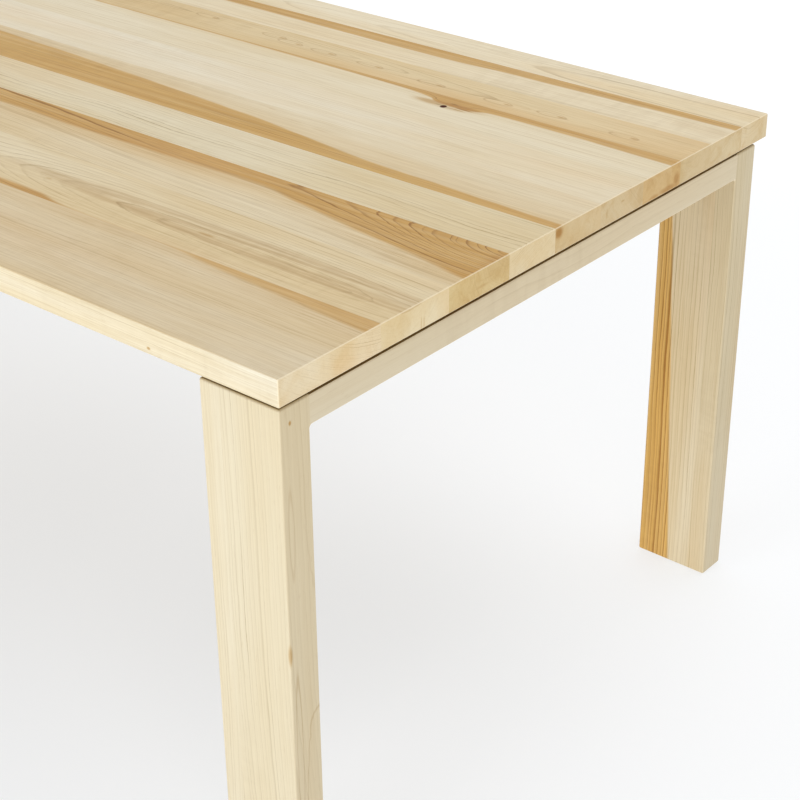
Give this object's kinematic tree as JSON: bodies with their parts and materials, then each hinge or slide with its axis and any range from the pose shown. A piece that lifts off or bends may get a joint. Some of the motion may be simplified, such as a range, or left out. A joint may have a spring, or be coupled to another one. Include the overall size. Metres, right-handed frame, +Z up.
{
  "type": "parsons dining table",
  "caption": "Long dining table: a thick edge-glued wooden top floats over square end frames with broad flat legs and low flush end rails.",
  "frame": {"origin": "on the floor, under the middle of the table", "axes": "+X along the table towards the end that shows in the picture, +Y across it towards the back, +Z up"},
  "size_m": [2, 1, 0.75],
  "materials": {
    "top_maple": "satin clear lacquer on maple",
    "frame_maple": "satin clear lacquer on maple",
    "inner_maple": "plain clear lacquer on maple",
    "spacer_black": "dark stained matt",
    "beech": "unfinished",
    "zinc_steel": "zinc plated",
    "black_steel": "black oxide",
    "insert_brass": "plain turned",
    "foot_plastic": "moulded matt"
  },
  "bodies": {
    "table": {"top_stave_01": "top_maple", "top_stave_02": "top_maple", "top_stave_03": "top_maple", "top_stave_04": "top_maple", "top_stave_05": "top_maple", "top_stave_06": "top_maple", "top_stave_07": "top_maple", "top_stave_08": "top_maple", "top_stave_09": "top_maple", "top_stave_10": "top_maple", "leg_front_right_wide_stave": "frame_maple", "leg_front_right_narrow_stave": "frame_maple", "leg_back_right_wide_stave": "frame_maple", "leg_back_right_narrow_stave": "frame_maple", "leg_front_left_wide_stave": "frame_maple", "leg_front_left_narrow_stave": "frame_maple", "leg_back_left_wide_stave": "frame_maple", "leg_back_left_narrow_stave": "frame_maple", "end_rail_right": "frame_maple", "spacer_strip_right": "spacer_black", "end_rail_left": "frame_maple", "spacer_strip_left": "spacer_black", "long_rail_front": "inner_maple", "long_rail_back": "inner_maple", "cross_rail_left": "inner_maple", "cross_rail_middle": "inner_maple", "cross_rail_right": "inner_maple", "end_rail_loose_tenons": "beech", "long_rail_dowels": "beech", "cross_rail_dowels": "beech", "corner_brackets": "zinc_steel", "corner_bracket_screws": "zinc_steel", "top_bolt_washers": "zinc_steel", "top_clips": "zinc_steel", "top_clip_screws": "zinc_steel", "top_bolts": "black_steel", "top_bolt_inserts": "zinc_steel", "leg_foot_inserts": "insert_brass"},
    "levelling_foot_front_right": {"foot_pad_front_right": "foot_plastic", "foot_stud_front_right": "zinc_steel"},
    "levelling_foot_back_right": {"foot_pad_back_right": "foot_plastic", "foot_stud_back_right": "zinc_steel"},
    "levelling_foot_front_left": {"foot_pad_front_left": "foot_plastic", "foot_stud_front_left": "zinc_steel"},
    "levelling_foot_back_left": {"foot_pad_back_left": "foot_plastic", "foot_stud_back_left": "zinc_steel"}
  },
  "joints": [
    {"name": "foot_travel_front_right", "type": "slide", "parent": "table", "child": "levelling_foot_front_right", "axis": [0, 0, -1], "range_m": [0, 0.01]},
    {"name": "foot_travel_back_right", "type": "slide", "parent": "table", "child": "levelling_foot_back_right", "axis": [0, 0, -1], "range_m": [0, 0.01]},
    {"name": "foot_travel_front_left", "type": "slide", "parent": "table", "child": "levelling_foot_front_left", "axis": [0, 0, -1], "range_m": [0, 0.01]},
    {"name": "foot_travel_back_left", "type": "slide", "parent": "table", "child": "levelling_foot_back_left", "axis": [0, 0, -1], "range_m": [0, 0.01]}
  ]
}
